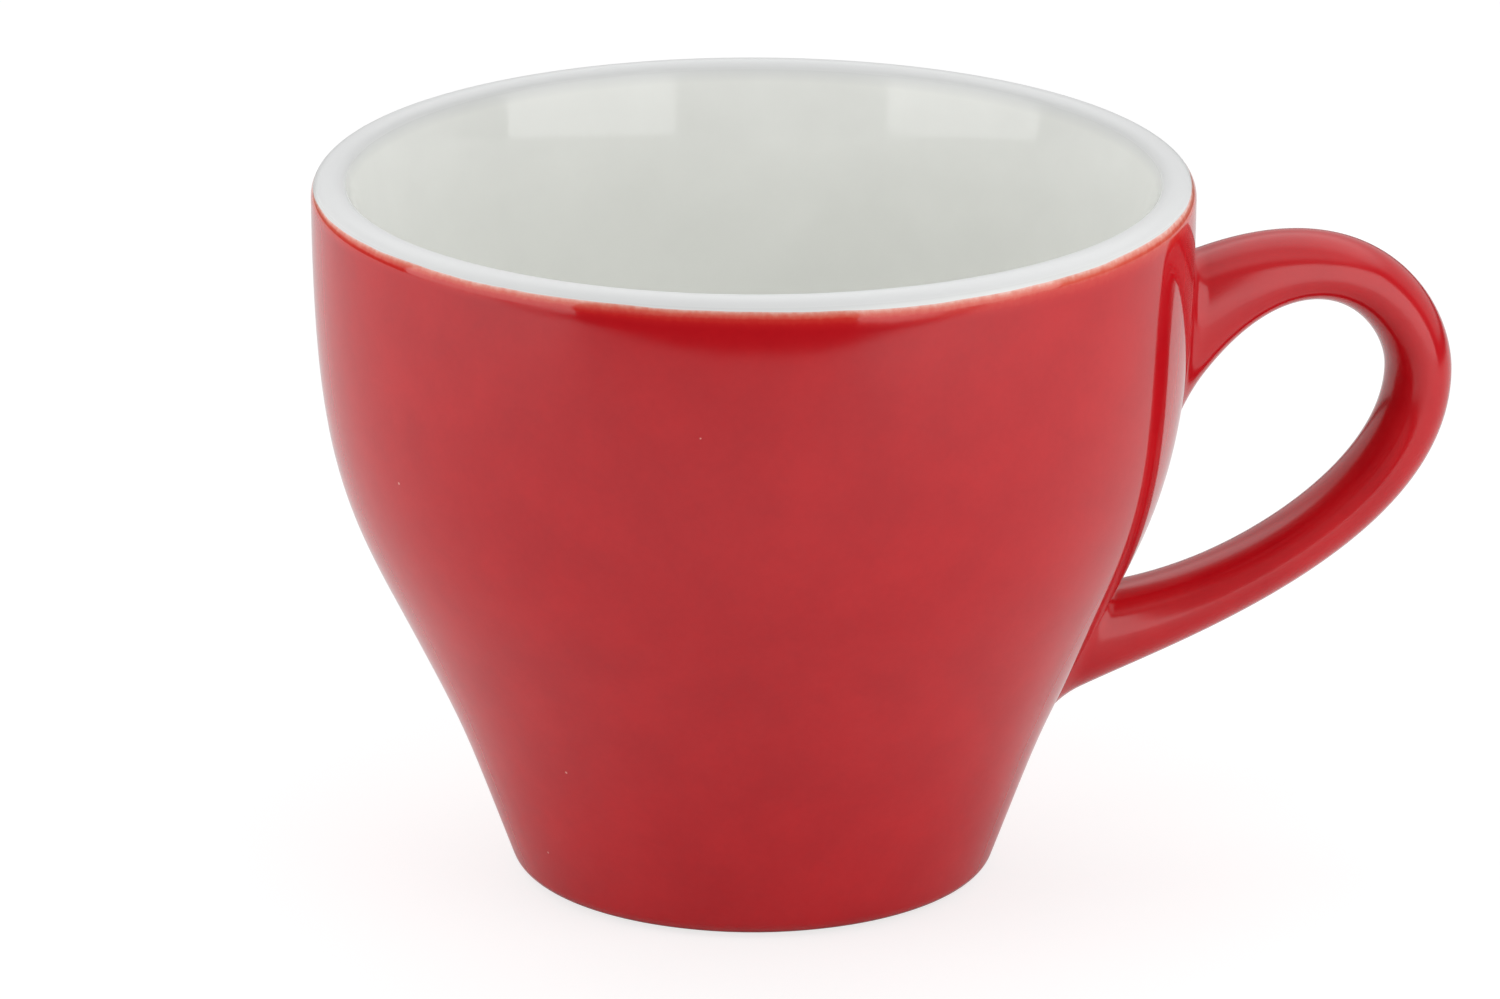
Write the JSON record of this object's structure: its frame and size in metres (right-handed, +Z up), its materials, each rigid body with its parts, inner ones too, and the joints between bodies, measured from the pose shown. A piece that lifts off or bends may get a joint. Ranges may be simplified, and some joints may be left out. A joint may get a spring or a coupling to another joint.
{
  "type": "coffee cup",
  "caption": "Red glazed cappuccino cup with a white inside and lip, a tulip-shaped wall on a narrow foot and a loop handle.",
  "frame": {"origin": "centre of the foot ring on the plane that the cup stands on", "axes": "+Z up along the cup's axis, +X towards the handle, +Y to the left of someone who looks from the cup along the handle"},
  "size_m": [0.1182, 0.09, 0.074],
  "materials": {
    "clay": "fired, unglazed",
    "slip": "fired, unglazed",
    "white_glaze": "gloss glaze",
    "red_glaze": "gloss glaze"
  },
  "bodies": {
    "root": {"cup_body": "clay", "handle": "clay", "upper_slip_joint": "slip", "lower_slip_joint": "slip", "liner_glaze": "white_glaze", "outer_glaze": "red_glaze", "handle_glaze": "red_glaze", "base_glaze": "white_glaze"}
  },
  "joints": []
}
